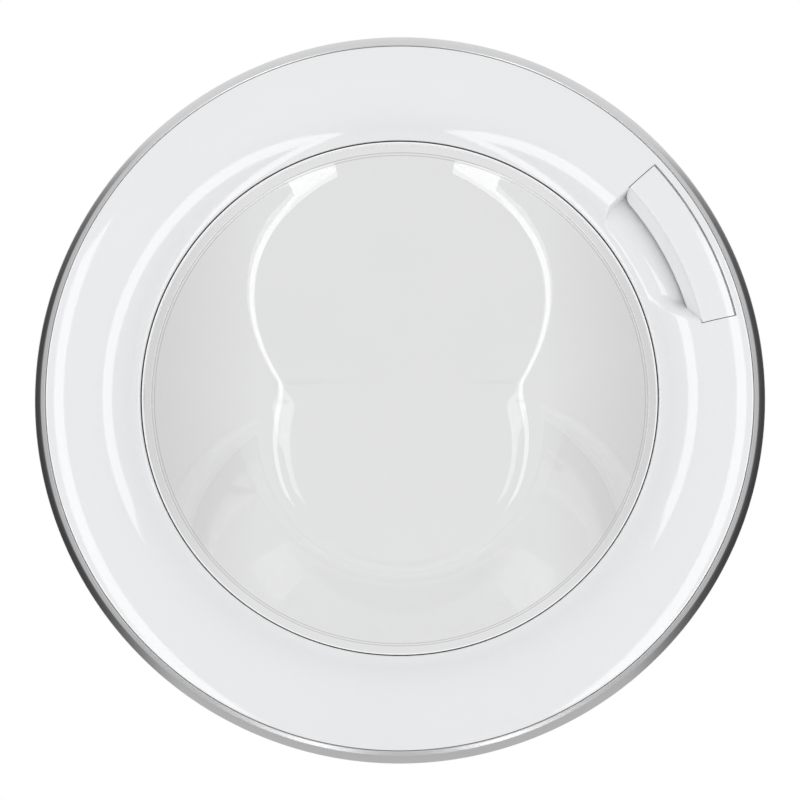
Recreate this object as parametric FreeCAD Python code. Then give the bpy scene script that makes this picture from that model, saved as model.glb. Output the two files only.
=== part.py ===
import FreeCAD
import Part
import math
import os
from FreeCAD import Vector

# Porthole door of a front-loading washing machine, in millimetres and degrees.
# The door faces -Y, +X is to its right and +Z is up. The origin lies on the door's axis,
# in the plane of the hinge plate's mounting face. Angles run from +X towards +Z.

# Ring of the door
door_diameter = 470.0
ring_depth = 33.0            # rear edge to crest
trim_width = 8.2             # bright ring, seen from the front
seam_gap = 0.4               # between the bright ring and the white frame
ring_width = 68.0            # outside of the door to the window's edge
crest_inset = 20.5           # seam to the crest of the crown
crown_radius = 53.0
inner_slope = 37.0           # where the crown runs into the flare
lip_slope = 22.0             # where the flare ends at the window
frame_wall = 2.6
rib_thickness = 2.0
rib_depth = 6.0              # below the crest's inner face

# Bright ring
trim_wall = 2.0
trim_land = 3.2              # sloping land beside the seam
trim_land_slope = 30.0
trim_flank_slope = 50.0      # where the flank leaves the land
trim_shoulder = 10.5         # seam to the widest point, along the axis
trim_flange = 8.5            # reach of the rear flange behind the frame

# Glass bowl and its gasket
lip_to_glass = 8.1
gasket_thickness = 2.0
gasket_bead = 1.5            # dark line seen round the glass
gasket_setback = 1.4         # bead behind the lip
gasket_slack = 0.1
flange_overlap = 11.0        # glass flange past the window's edge
flange_thickness = 5.0
foot_margin = 2.0            # frame's foot short of the glass edge
glass_land = 6.0             # flat land inside the window's edge
glass_wall = 4.5
bowl_depth = 65.0
bowl_end_radius = 86.0
bowl_drop = 23.0             # bowl's end below the door's axis
ridge_height = 8.0           # top of the flat end
ridge_radius = 30.0
ridge_run = 4.0              # straight face between the ridge and the scoop
scoop_slope = 36.0
scoop_end_slope = 6.0
scoop_end_depth = 8.0        # behind the glass front, at the scoop's upper end
bowl_rounding = 9.0          # inside corner round the bowl's end
cut_overrun = 4.0            # cutting shapes past the faces they cut

# Inner frame
inner_wall = 3.0
plate_recess = 1.0           # plate in front of the ring's rear edge
plate_play = 1.4             # plate inside the outer frame's wall
collar_rise = 8.0
collar_run = 10.0            # radial run of the step up to the collar
collar_margin = 3.0          # collar's edge outside the window's edge
clamp_offset = 4.0           # clamp rib outside the window's edge
clamp_width = 3.0

# Screws that join the frames
screw_pitch = 36.0
screw_first = 54.0
screw_count = 9
screw_outset = 0.7           # screw circle outside the crest
screw_radius = 2.0
screw_head_radius = 4.0
screw_head_height = 2.4
screw_length = 14.0
screw_sink = 1.2
screw_play = 0.3
screw_point = 1.0            # bracket screws past the bracket
boss_radius = 4.5
thread_play = 0.05
head_margin = 3.0            # flat plate round a screw head

# Handle and finger recess
handle_angle = 27.5
handle_span = 29.0
handle_overhang = 7.2        # handle past the crest, inwards
handle_rim = 4.4             # strip of frame left outside the handle
handle_swing_gap = 1.9
handle_end_gap = 0.5
handle_edge_round = 2.0
grip_reach = 5.5
grip_depth = 11.0            # crest to the grip's lip
grip_corner = 8.0            # rounded ends of the lip, seen from the front
recess_margin = 6.0          # recess outside the window's edge
recess_depth = 25.0          # crest to the recess floor
recess_run = 11.0            # sloping side of the recess
recess_corner = 13.0
bay_wall_offset = 2.2        # wall behind the grip, from the handle's edge
bay_wall_drop = 7.0          # that wall's top below the crest

# Latch
latch_pin_radius = 2.0
latch_pin_inset = 11.5       # pin inside the seam
latch_pin_depth = 9.8        # pin below the crest
running_play = 0.05
eye_wall = 2.3
handle_lug = 4.5             # thickness of the handle's lugs
handle_lug_out = 24.5        # their outer faces, from the middle
lug_gap = 1.5
frame_lug = 4.0
lug_neck_rise = 8.5          # lug's wide foot in front of the recess floor
hook_width = 12.0
hook_shank = 6.5
hook_back = 9.0              # hook's tip behind the mounting face
hook_barb = 6.5
hook_barb_depth = 7.0
hook_lead = 2.0
hook_opening = 13.5          # slot from the hook's front face, inwards
hook_side_play = 2.0         # slot beside the hook
hook_front_play = 1.0        # slot outside the hook's shank
driver_wall = 1.2
driver_play = 0.3
driver_arm = 2.4
driver_length = 11.0         # driver behind the pin
spring_wire = 1.0
spring_play = 0.3
spring_turns = 2.25
spring_pitch = 1.25
spring_tail = 10.0
spring_arm = 11.0

# Hinge
hinge_standoff = 24.0        # pin in front of the mounting face
rim_behind_pin = 8.0         # ring's rear edge behind the pin
pin_inset = 12.8             # pin inside the seam
opening_angle = 164.0
hinge_pin_radius = 4.0
hinge_head_radius = 6.0
hinge_head_height = 2.5
hinge_pin_tail = 2.0
barrel_radius = 8.5
barrel_length = 39.0
bush_wall = 1.5
bush_length = 10.0
bush_flange = 1.5
bush_flange_reach = 2.2
ear_play = 0.4
clip_thickness = 1.1
clip_groove_depth = 0.7
clip_reach = 3.0
clip_play = 0.1
neck_thickness = 6.0
neck_clearance = 0.8         # neck behind the ring's edge, fully open
neck_side_clearance = 3.0    # neck beside the ring, fully open
neck_start = 4.5             # first bend beside the pin, fully open
neck_bend = 4.0
plate_thickness = 4.0
plate_width = 24.0
plate_height = 120.0
plate_corner = 6.0
bolt_spacing = 90.0
bolt_hole_radius = 3.3
bracket_wall = 2.5
bracket_front = 14.5         # bracket's bridge in front of the pin
bracket_left = 6.0
bracket_right = 16.0
bracket_foot = 30.0
foot_left = 8.0              # feet beside the pin's head and clip
foot_screw_inset = 9.0       # from the ends of a foot
notch_play = 1.3
neck_room = 2.0

# Places that follow from the sizes
outer_r = door_diameter / 2
seam_r = outer_r - trim_width
frame_r = seam_r - seam_gap / 2
trim_in_r = seam_r + seam_gap / 2
crest_r = seam_r - crest_inset
window_r = outer_r - ring_width

pin_x = -(seam_r - pin_inset)
pin_y = -hinge_standoff
rear_y = pin_y + rim_behind_pin
crest_y = rear_y - ring_depth
ahead_y = crest_y - ring_depth          # well in front of the door, for cutting
frame_back_y = rear_y - trim_wall
plate_back_y = rear_y - plate_recess
plate_front_y = plate_back_y - inner_wall

crown_y = crest_y + crown_radius
slope_span = math.sin(math.radians(inner_slope)) - math.sin(math.radians(lip_slope))
flare_run = crest_r - crown_radius * math.sin(math.radians(inner_slope)) - window_r
flare_radius = flare_run / slope_span
flare_r = crest_r - (crown_radius + flare_radius) * math.sin(math.radians(inner_slope))
flare_y = crown_y - (crown_radius + flare_radius) * math.cos(math.radians(inner_slope))
flare_mid = (inner_slope + lip_slope) / 2
lip_y = flare_y + flare_radius * math.cos(math.radians(lip_slope))

glass_front_y = lip_y + lip_to_glass
glass_back_y = glass_front_y + flange_thickness
foot_y = glass_front_y - gasket_thickness
flange_r = window_r + flange_overlap
foot_r = flange_r - foot_margin
bowl_mouth_r = window_r - glass_land
bowl_end_y = glass_front_y + bowl_depth

plate_r = frame_r - frame_wall - plate_play
screw_r = crest_r + screw_outset
step_r = screw_r - screw_head_radius - head_margin
collar_r = step_r - collar_run
screw_angles = [screw_first + k * screw_pitch for k in range(screw_count)]

half_span = handle_span / 2
panel_in_r = crest_r - handle_overhang
bay_out_r = seam_r - handle_rim
panel_out_r = bay_out_r - handle_swing_gap
bay_wall_r = panel_in_r + bay_wall_offset
recess_in_r = window_r + recess_margin
recess_y = crest_y + recess_depth
latch_r = seam_r - latch_pin_inset
latch_y = crest_y + latch_pin_depth
eye_r = latch_pin_radius + eye_wall
hook_out_r = latch_r + hook_shank / 2
hook_in_r = latch_r - hook_shank / 2
driver_in_r = hook_out_r + driver_play
spring_r = latch_pin_radius + spring_play + spring_wire / 2
spring_start = hook_width / 2 + spring_wire

bush_r = hinge_pin_radius + running_play + bush_wall
barrel_end = barrel_length / 2
ear_in = barrel_end + bush_flange + ear_play
ear_out = ear_in + bracket_wall
pin_top = ear_out + clip_play + clip_thickness + clip_play + hinge_pin_tail
lobe_r = rim_behind_pin


def point(place):
    return Vector(place[0], place[1], 0)


def side_point(place):
    return Vector(0, place[0], place[1])


def flat(*steps, point=point):
    """Flat face in the XY plane. A step that holds two points is an arc through the first."""
    edges = []
    here = steps[0]
    for step in steps[1:] + (steps[0],):
        if isinstance(step[0], tuple):
            through, there = step
            edges.append(Part.Arc(point(here), point(through), point(there)).toShape())
        else:
            there = step
            edges.append(Part.LineSegment(point(here), point(there)).toShape())
        here = there
    return Part.Face(Part.Wire(edges))


def upright(solid):
    if solid.Volume < 0:
        solid.reverse()
    return solid


def turned(face, half=180.0):
    """Revolve a (radius, y) face about the door's axis, by half to each side of +X."""
    solid = face.revolve(Vector(), Vector(0, -1, 0), 2 * half)
    return upright(solid.rotated(Vector(), Vector(0, -1, 0), -half))


def slab(face, low, high):
    """Extrude a flat face along Z, from low to high."""
    solid = face.extrude(Vector(0, 0, high - low))
    return upright(solid.translated(Vector(0, 0, low)))


def rod(radius, place, low, high):
    """Round bar along Z at a place in the XY plane."""
    return Part.makeCylinder(radius, high - low, Vector(place[0], place[1], low))


def bar(radius, place, front, back):
    """Round bar along Y at a place in the XZ plane."""
    return Part.makeCylinder(radius, back - front, Vector(place[0], front, place[1]), Vector(0, 1, 0))


def block(low, high):
    size = Vector(*high) - Vector(*low)
    return Part.makeBox(size.x, size.y, size.z, Vector(*low))


def around(solid, angle):
    """Turn a solid about the door's axis."""
    return solid.rotated(Vector(), Vector(0, -1, 0), angle)


def on_circle(radius, angle):
    return (radius * math.cos(math.radians(angle)), radius * math.sin(math.radians(angle)))


def whole(shape):
    """One clean solid."""
    return shape.removeSplitter().Solids[0]


def crown(slope, inset=0.0):
    """Point of the rounded crown that leans outwards by slope, inset below its face."""
    reach = crown_radius - inset
    lean = math.radians(slope)
    return (crest_r + reach * math.sin(lean), crown_y - reach * math.cos(lean))


def crown_at(radius, inset=0.0):
    return crown(math.degrees(math.asin((radius - crest_r) / (crown_radius - inset))), inset)


def flare(slope, inset=0.0):
    """Point of the hollow flare between the crown and the window."""
    reach = flare_radius + inset
    lean = math.radians(slope)
    return (flare_r + reach * math.sin(lean), flare_y + reach * math.cos(lean))


def flare_at(radius, inset=0.0):
    return flare(math.degrees(math.asin((radius - flare_r) / (flare_radius + inset))), inset)


def under_face(inset):
    """Everything below the ring's front face, down to the inner frame."""
    edge_r = frame_r - inset
    lip_r = window_r + inset
    return turned(flat(
        (edge_r, plate_front_y),
        crown_at(edge_r, inset),
        (crown(0, inset), crown(-inner_slope, inset)),
        (flare(flare_mid, inset), flare_at(lip_r, inset)),
        (lip_r, foot_y - frame_wall),
        (flange_r + gasket_slack, foot_y - frame_wall),
        (flange_r + gasket_slack, plate_front_y)))


def ring_shell():
    """The white frame's plain ring: crown, flare, outer wall and the foot over the glass."""
    skin_r = frame_r - frame_wall
    lip_in_r = window_r + frame_wall
    return turned(flat(
        (frame_r, frame_back_y),
        crown_at(frame_r),
        (crown(0), crown(-inner_slope)),
        (flare(flare_mid), flare(lip_slope)),
        (window_r, foot_y),
        (foot_r, foot_y),
        (foot_r, foot_y - frame_wall),
        (lip_in_r, foot_y - frame_wall),
        flare_at(lip_in_r, frame_wall),
        crown(-inner_slope, frame_wall),
        crown(-inner_slope / 3, frame_wall),
        crown(inner_slope / 3, frame_wall),
        crown_at(skin_r, frame_wall),
        (skin_r, frame_back_y)))


def sector(inner, outer, half, y):
    """Ring sector at one depth, half degrees to each side of +X."""
    def at(radius, angle):
        x, z = on_circle(radius, angle)
        return Vector(x, y, z)
    return Part.Wire([
        Part.Arc(at(inner, -half), at(inner, 0), at(inner, half)).toShape(),
        Part.LineSegment(at(inner, half), at(outer, half)).toShape(),
        Part.Arc(at(outer, half), at(outer, 0), at(outer, -half)).toShape(),
        Part.LineSegment(at(outer, -half), at(inner, -half)).toShape()])


def recess(grow):
    """Finger recess: a sloping, round-cornered hollow, or its outside when grown by a wall."""
    floor_in_r = recess_in_r + recess_run
    lean = recess_run / (recess_y - lip_y)
    inner_grow = grow * math.hypot(1, lean)
    spread = math.degrees(grow / floor_in_r)
    levels = []
    for y in (ahead_y, recess_y + grow):
        inner = floor_in_r - lean * (recess_y - y) - inner_grow
        levels.append(sector(inner, bay_wall_r + grow, half_span + spread, y))
    hollow = upright(Part.makeLoft(levels, True, True))
    corners = [edge for edge in hollow.Edges
               if edge.BoundBox.YLength > recess_depth
               and math.hypot(edge.CenterOfMass.x, edge.CenterOfMass.z) < bay_wall_r - recess_corner]
    return hollow.makeFillet(recess_corner + grow, corners)


def handle_bay():
    """What is cut from the ring's face for the handle and its wall."""
    return turned(flat(
        (bay_wall_r, ahead_y),
        (bay_out_r, ahead_y),
        (bay_out_r, latch_y),
        (bay_wall_r + frame_wall, latch_y),
        (bay_wall_r + frame_wall, crest_y + bay_wall_drop),
        (bay_wall_r, crest_y + bay_wall_drop)), half_span)


def bay_ends():
    """Radial walls that close the handle's bay at both ends."""
    thickness = math.degrees(frame_wall / latch_r)
    section = flat(
        (bay_wall_r, ahead_y),
        (frame_r - frame_wall / 2, ahead_y),
        (frame_r - frame_wall / 2, recess_y + frame_wall),
        (bay_wall_r, recess_y + frame_wall))
    wall = turned(section, thickness / 2)
    shift = half_span + thickness / 2
    return around(wall, shift).fuse(around(wall, -shift))


def frame_lugs():
    """Two upright lugs in the bay that carry the latch pin."""
    foot_top = recess_y + frame_wall - lug_neck_rise
    shape = flat(
        (bay_wall_r + frame_wall / 2, recess_y + frame_wall),
        (bay_wall_r + frame_wall / 2, foot_top),
        (latch_r - eye_r, foot_top),
        (latch_r - eye_r, latch_y),
        ((latch_r, latch_y - eye_r), (latch_r + eye_r, latch_y)),
        (latch_r + eye_r, foot_top),
        (frame_r - frame_wall / 2, foot_top),
        (frame_r - frame_wall / 2, recess_y + frame_wall))
    low = handle_lug_out + lug_gap
    lugs = slab(shape, low, low + frame_lug).fuse(slab(shape, -low - frame_lug, -low))
    return lugs.cut(rod(latch_pin_radius + running_play, (latch_r, latch_y), -seam_r, seam_r))


def screw_bosses():
    bore = screw_radius + thread_play
    bosses = []
    for angle in screw_angles:
        place = on_circle(screw_r, angle)
        boss = bar(boss_radius, place, ahead_y, plate_front_y)
        bosses.append(boss.cut(bar(bore, place, plate_front_y - screw_length, plate_front_y)))
    return bosses


def face_ribs():
    """Radial ribs under the crown, one through each boss, clear of the screw bores."""
    back_y = crest_y + frame_wall + rib_depth
    rib = block((window_r + frame_wall, ahead_y, -rib_thickness / 2),
                (frame_r - frame_wall / 2, back_y, rib_thickness / 2))
    return [around(rib, angle) for angle in screw_angles]


def make_outer_frame():
    inside = under_face(frame_wall / 2)
    frame = ring_shell()
    shell = around(recess(frame_wall), handle_angle).common(under_face(0))
    frame = frame.fuse(shell).cut(around(recess(0), handle_angle))
    frame = frame.fuse(around(bay_ends(), handle_angle).common(inside))
    frame = frame.cut(around(handle_bay(), handle_angle))
    frame = frame.fuse(around(frame_lugs(), handle_angle))
    fittings = [piece.common(inside) for piece in screw_bosses() + face_ribs()]
    return whole(frame.fuse(fittings))


def make_trim_ring():
    seam_y = crown_at(frame_r)[1]
    edge_r = trim_in_r + trim_land
    edge_y = seam_y + trim_land * math.tan(math.radians(trim_land_slope))
    wide_y = seam_y + trim_shoulder
    chord = math.atan2(wide_y - edge_y, outer_r - edge_r)
    start = math.radians(trim_flank_slope)
    bulge = math.hypot(wide_y - edge_y, outer_r - edge_r) / (2 * math.sin(chord - start))
    middle = (edge_r + bulge * (math.sin(chord) - math.sin(start)),
              edge_y + bulge * (math.cos(start) - math.cos(chord)))
    return turned(flat(
        (trim_in_r, seam_y),
        (edge_r, edge_y),
        (middle, (outer_r, wide_y)),
        (outer_r, rear_y),
        (outer_r - trim_flange, rear_y),
        (outer_r - trim_flange, frame_back_y),
        (outer_r - trim_wall, frame_back_y),
        (outer_r - trim_wall, wide_y),
        (trim_in_r, wide_y)))


def make_glass_gasket():
    bead_in_r = window_r - gasket_bead
    bead_out_r = window_r - gasket_slack
    bead_y = lip_y + gasket_setback
    return turned(flat(
        (bead_in_r, bead_y),
        (bead_out_r, bead_y),
        (bead_out_r, foot_y),
        (foot_r, foot_y),
        (foot_r, glass_front_y),
        (bead_in_r, glass_front_y)))


def bowl_cone(grow, front, back):
    """Leaning cone of the bowl's side wall, between two depths."""
    rings = []
    for y in (front, back):
        share = (y - glass_front_y) / bowl_depth
        radius = bowl_mouth_r + (bowl_end_radius - bowl_mouth_r) * share + grow
        centre = Vector(0, y, -bowl_drop * share)
        rings.append(Part.Wire(Part.Circle(centre, Vector(0, 1, 0), radius).toShape()))
    return upright(Part.makeLoft(rings, True, True))


def bowl_back(grow, front):
    """Space in front of the bowl's back wall: flat end, round ridge, steep face and hollow scoop."""
    steep = math.radians(scoop_slope)
    ridge_drop = ridge_radius * (1 - math.cos(steep))
    end_slope = math.radians(scoop_end_slope)
    run_drop = ridge_run * math.sin(steep)
    scoop_drop = bowl_depth - scoop_end_depth - ridge_drop - run_drop
    scoop_radius = scoop_drop / (math.cos(end_slope) - math.cos(steep))
    scoop_z = ridge_height + (ridge_radius + scoop_radius) * math.sin(steep) + ridge_run * math.cos(steep)
    scoop_y = bowl_end_y - ridge_drop - run_drop + scoop_radius * math.cos(steep)

    def ridge(slope):
        reach = ridge_radius + grow
        lean = math.radians(slope)
        return (bowl_end_y - ridge_radius + reach * math.cos(lean), ridge_height + reach * math.sin(lean))

    def scoop(slope):
        reach = scoop_radius - grow
        lean = math.radians(slope)
        return (scoop_y - reach * math.cos(lean), scoop_z - reach * math.sin(lean))

    last = scoop(scoop_end_slope)
    top = (last[0] - flange_r * math.tan(end_slope), last[1] + flange_r)
    back = flat(
        (front, top[1]),
        (front, -flange_r),
        (bowl_end_y + grow, -flange_r),
        ridge(0),
        (ridge(scoop_slope / 2), ridge(scoop_slope)),
        scoop(scoop_slope),
        (scoop((scoop_slope + scoop_end_slope) / 2), last),
        top,
        point=side_point)
    back.translate(Vector(-flange_r, 0, 0))
    return upright(back.extrude(Vector(2 * flange_r, 0, 0)))


def bowl_form(grow, front):
    """Rounded body of the bowl: its hollow, or its outside when grown by the glass wall."""
    lean = math.atan((bowl_mouth_r - bowl_end_radius) / bowl_depth)
    cone = bowl_cone(grow / math.cos(lean), front, bowl_end_y + 2 * glass_wall)
    form = cone.common(bowl_back(grow, front))
    rim = [edge for edge in form.Edges
           if edge.BoundBox.YMax > front + cut_overrun
           and edge.BoundBox.XLength > glass_wall and edge.Curve.TypeId != "Part::GeomLine"]
    return form.makeFillet(bowl_rounding + grow, rim)


def make_glass_bowl():
    flange = turned(flat(
        (0, glass_front_y),
        (flange_r, glass_front_y),
        (flange_r, glass_back_y),
        (0, glass_back_y)))
    body = flange.fuse(bowl_form(glass_wall, glass_front_y + flange_thickness / 2))
    return whole(body.cut(bowl_form(0, glass_front_y - cut_overrun)))


def make_inner_frame():
    collar_in_r = window_r + collar_margin
    clamp_r = window_r + clamp_offset
    collar_y = plate_back_y + collar_rise
    frame = turned(flat(
        (plate_r, plate_front_y),
        (plate_r, plate_back_y),
        (step_r, plate_back_y),
        (collar_r, collar_y),
        (collar_in_r, collar_y),
        (collar_in_r, collar_y - inner_wall),
        (clamp_r, collar_y - inner_wall),
        (clamp_r, glass_back_y),
        (clamp_r + clamp_width, glass_back_y),
        (clamp_r + clamp_width, collar_y - inner_wall),
        (collar_r - inner_wall / 2, collar_y - inner_wall),
        (step_r - inner_wall / 2, plate_front_y)))
    cuts = []
    for angle in screw_angles:
        place = on_circle(screw_r, angle)
        cuts.append(bar(screw_radius + screw_play, place, plate_front_y, plate_back_y))
        cuts.append(bar(screw_head_radius + screw_play, place, plate_back_y - screw_sink, plate_back_y))
    for x, z in bracket_screw_places():
        cuts.append(bar(screw_radius + screw_play, (x, z), plate_front_y, plate_back_y))
    slot_in_r = hook_out_r + driver_play - hook_opening - hook_shank / 2
    slot = block((slot_in_r, plate_front_y, -hook_width / 2 - hook_side_play),
                 (hook_out_r + hook_front_play, plate_back_y, hook_width / 2 + hook_side_play))
    cuts.append(around(slot, handle_angle))
    notch_z = pin_top + notch_play
    neck_x = pin_x + neck_points()[2][0] + neck_thickness / 2 + neck_room
    cuts.append(block((-outer_r, ahead_y, -notch_z), (neck_x, collar_y, notch_z)))
    return whole(frame.cut(cuts))


def make_screw(place, seat_y, length):
    head = bar(screw_head_radius, place, seat_y, seat_y + screw_head_height)
    return head.fuse(bar(screw_radius, place, seat_y - length, seat_y)).removeSplitter()


def make_frame_screws():
    seat_y = plate_back_y - screw_sink
    return Part.makeCompound([make_screw(on_circle(screw_r, angle), seat_y, screw_length)
                              for angle in screw_angles])


def grip_outline():
    """Space that the lever keeps to, seen from the front: its lip has rounded ends."""
    lip_r = panel_in_r - grip_reach
    outline = Part.Face(sector(lip_r, seam_r, half_span, ahead_y))
    space = upright(outline.extrude(Vector(0, 2 * ring_depth, 0)))
    corners = [edge for edge in space.Edges
               if edge.BoundBox.YLength > ring_depth
               and math.hypot(edge.CenterOfMass.x, edge.CenterOfMass.z) < panel_in_r]
    return space.makeFillet(grip_corner, corners)


def make_door_handle():
    """Curved lever that lies flush in the crown, with a grip wall, lugs and the hook's driver."""
    mid_r = (panel_in_r + panel_out_r) / 2
    edge = crown_at(panel_in_r + handle_edge_round)
    grip_top = (panel_in_r, edge[1] + handle_edge_round)
    corner = handle_edge_round * math.sqrt(0.5)
    edge_middle = (edge[0] - corner, grip_top[1] - corner)
    grip_lip = (panel_in_r - grip_reach, crest_y + grip_depth)
    length = math.dist(grip_top, grip_lip)
    along = ((grip_lip[0] - grip_top[0]) / length, (grip_lip[1] - grip_top[1]) / length)
    shift = (frame_wall * along[1], -frame_wall * along[0])
    lip_back = (grip_lip[0] + shift[0], grip_lip[1] + shift[1])
    lip_end = ((grip_lip[0] + lip_back[0] + frame_wall * along[0]) / 2,
               (grip_lip[1] + lip_back[1] + frame_wall * along[1]) / 2)
    gap_angle = math.degrees(handle_end_gap / mid_r)
    lever = turned(flat(
        crown_at(panel_out_r),
        (crown_at(mid_r), edge),
        (edge_middle, grip_top),
        grip_lip,
        (lip_end, lip_back),
        (grip_top[0] + shift[0], grip_top[1] + shift[1]),
        crown_at(panel_in_r + 2 * handle_edge_round, frame_wall),
        (crown_at(mid_r, frame_wall), crown_at(panel_out_r, frame_wall))), half_span - gap_angle)
    lever = lever.common(grip_outline())
    lug = flat(
        (latch_r - eye_r, ahead_y),
        (latch_r + eye_r, ahead_y),
        (latch_r + eye_r, latch_y),
        ((latch_r, latch_y + eye_r), (latch_r - eye_r, latch_y)))
    driver = flat(
        (driver_in_r, ahead_y),
        (driver_in_r + driver_wall, ahead_y),
        (driver_in_r + driver_wall, latch_y + driver_length),
        (driver_in_r, latch_y + driver_length))
    bridge = flat(
        (driver_in_r, latch_y + driver_length / 2),
        (driver_in_r + driver_wall, latch_y + driver_length / 2),
        (driver_in_r + driver_wall, latch_y + driver_length),
        (driver_in_r, latch_y + driver_length))
    arm_in = hook_width / 2 + lug_gap / 2
    lug_in = handle_lug_out - handle_lug
    ribs = [slab(lug, lug_in, handle_lug_out),
            slab(lug, -handle_lug_out, -lug_in),
            slab(driver, arm_in, arm_in + driver_arm),
            slab(driver, -arm_in - driver_arm, -arm_in)]
    inside = under_face(frame_wall / 2)
    lever = lever.fuse([rib.common(inside) for rib in ribs])
    lever = lever.fuse(slab(bridge, -arm_in - driver_arm, arm_in + driver_arm))
    bore = rod(latch_pin_radius + running_play, (latch_r, latch_y), -seam_r, seam_r)
    return whole(around(lever.cut(bore), handle_angle))


def make_latch_hook():
    tip_y = hook_back
    barb_y = tip_y - hook_barb_depth
    shape = flat(
        (hook_in_r, latch_y),
        (hook_out_r, latch_y),
        (hook_out_r, barb_y),
        (hook_out_r + hook_barb, barb_y),
        (hook_out_r + hook_barb, barb_y + hook_lead),
        (hook_out_r - hook_lead, tip_y),
        (hook_in_r, tip_y))
    half = hook_width / 2
    hook = slab(shape, -half, half).fuse(rod(eye_r, (latch_r, latch_y), -half, half))
    bore = rod(latch_pin_radius + running_play, (latch_r, latch_y), -half, half)
    return whole(around(hook.cut(bore), handle_angle))


def make_latch_pin():
    reach = handle_lug_out + lug_gap + frame_lug
    return around(rod(latch_pin_radius, (latch_r, latch_y), -reach, reach), handle_angle)


def make_latch_spring():
    """Torsion spring of square wire, with one tail along the hook and one to the bay's wall."""
    height = spring_turns * spring_pitch
    half = spring_wire / 2
    helix = Part.makeHelix(spring_pitch, height, spring_r, 0, True)
    corners = [(-half, -half), (half, -half), (half, half), (-half, half), (-half, -half)]
    section = Part.makePolygon([Vector(spring_r + a, 0, b) for a, b in corners])
    coil = upright(Part.Wire(helix.Edges).makePipeShell([section], True, True))
    tail = block((spring_r - half, 0, -half), (spring_r + half, spring_tail, half))
    arm = block((-spring_arm, -spring_r - half, height - half), (0, -spring_r + half, height + half))
    spring = coil.fuse([tail, arm]).translated(Vector(latch_r, latch_y, spring_start))
    return whole(around(spring, handle_angle))


def neck_points():
    """Bends of the swan neck from the pin, door closed: it clears the ring's edge fully open."""
    half = neck_thickness / 2
    behind = rim_behind_pin + neck_clearance + half
    beside = outer_r + pin_x + neck_side_clearance + half
    turn = math.radians(opening_angle)
    points = []
    for x, y in ((0, 0), (-neck_start, behind), (-beside + half / 2, behind), (-beside, 0)):
        points.append((x * math.cos(turn) + y * math.sin(turn), y * math.cos(turn) - x * math.sin(turn)))
    points.append((points[-1][0], hinge_standoff - plate_thickness / 2))
    return points


def rounded_path(points, radius):
    """Straight runs joined by tangent arcs."""
    edges = []
    here = Vector(*points[0], 0)
    for before, corner, after in zip(points, points[1:], points[2:]):
        corner = Vector(*corner, 0)
        back = (Vector(*before, 0) - corner).normalize()
        ahead = (Vector(*after, 0) - corner).normalize()
        half_turn = (math.pi - back.getAngle(ahead)) / 2
        reach = radius * math.tan(half_turn)
        start = corner + back * reach
        end = corner + ahead * reach
        inward = (back + ahead).normalize()
        middle = corner + inward * radius * (1 / math.cos(half_turn) - 1)
        edges.append(Part.LineSegment(here, start).toShape())
        edges.append(Part.Arc(start, middle, end).toShape())
        here = end
    edges.append(Part.LineSegment(here, Vector(*points[-1], 0)).toShape())
    return Part.Wire(edges)


def make_hinge_arm():
    points = neck_points()
    path = rounded_path(points, neck_bend)
    along = Vector(*points[1], 0).normalize()
    side = Vector(-along.y, along.x, 0) * (neck_thickness / 2)
    rise = Vector(0, 0, barrel_end)
    corners = [side + rise, rise - side, side * -1 - rise, side - rise]
    section = Part.makePolygon(corners + corners[:1])
    neck = upright(path.makePipeShell([section], True, False))
    plate_x = points[-1][0] - neck_thickness / 2
    plate = block((plate_x, hinge_standoff - plate_thickness, -plate_height / 2),
                  (plate_x + plate_width, hinge_standoff, plate_height / 2))
    plate = plate.makeFillet(plate_corner, [edge for edge in plate.Edges
                                            if abs(edge.BoundBox.YLength - plate_thickness) < 0.01
                                            and edge.BoundBox.XLength < 0.01])
    arm = rod(barrel_radius, (0, 0), -barrel_end, barrel_end).fuse([neck, plate])
    arm = arm.translated(Vector(pin_x, pin_y, 0))
    bolt_x = pin_x + plate_x + plate_width / 2
    cuts = [rod(bush_r, (pin_x, pin_y), -barrel_end, barrel_end)]
    for z in (-bolt_spacing / 2, bolt_spacing / 2):
        cuts.append(bar(bolt_hole_radius, (bolt_x, z), -2 * plate_thickness, plate_thickness))
    return whole(arm.cut(cuts))


def make_hinge_bush(side):
    """Flanged bush in one end of the barrel: side is 1 for the upper one and -1 for the lower."""
    sleeve = rod(bush_r, (pin_x, pin_y), barrel_end - bush_length, barrel_end + bush_flange)
    flange = rod(bush_r + bush_flange_reach, (pin_x, pin_y), barrel_end, barrel_end + bush_flange)
    bore = rod(hinge_pin_radius + running_play, (pin_x, pin_y), 0, outer_r)
    bush = whole(sleeve.fuse(flange).cut(bore))
    if side < 0:
        bush = bush.rotated(Vector(pin_x, pin_y, 0), Vector(1, 0, 0), 180)
    return bush


def make_hinge_pin():
    top = pin_top - hinge_pin_tail
    pin = rod(hinge_pin_radius, (pin_x, pin_y), -ear_out, pin_top)
    head = rod(hinge_head_radius, (pin_x, pin_y), -ear_out - hinge_head_height, -ear_out)
    groove = rod(hinge_pin_radius, (pin_x, pin_y), ear_out, top)
    core = rod(hinge_pin_radius - clip_groove_depth, (pin_x, pin_y), ear_out, top)
    return whole(pin.fuse(head).cut(groove.cut(core)))


def make_hinge_pin_clip():
    low = ear_out + clip_play
    inner = hinge_pin_radius - clip_groove_depth + running_play
    ring = rod(hinge_pin_radius + clip_reach, (pin_x, pin_y), low, low + clip_thickness)
    mouth = block((pin_x, pin_y - inner, low), (pin_x + outer_r, pin_y + inner, low + clip_thickness))
    return whole(ring.cut([rod(inner, (pin_x, pin_y), low, low + clip_thickness), mouth]))


def bracket_screw_places():
    x = pin_x + (foot_left + bracket_right) / 2
    rows = (ear_out + foot_screw_inset, ear_out + bracket_foot - foot_screw_inset)
    return [(x, side * z) for z in rows for side in (-1, 1)]


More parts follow.
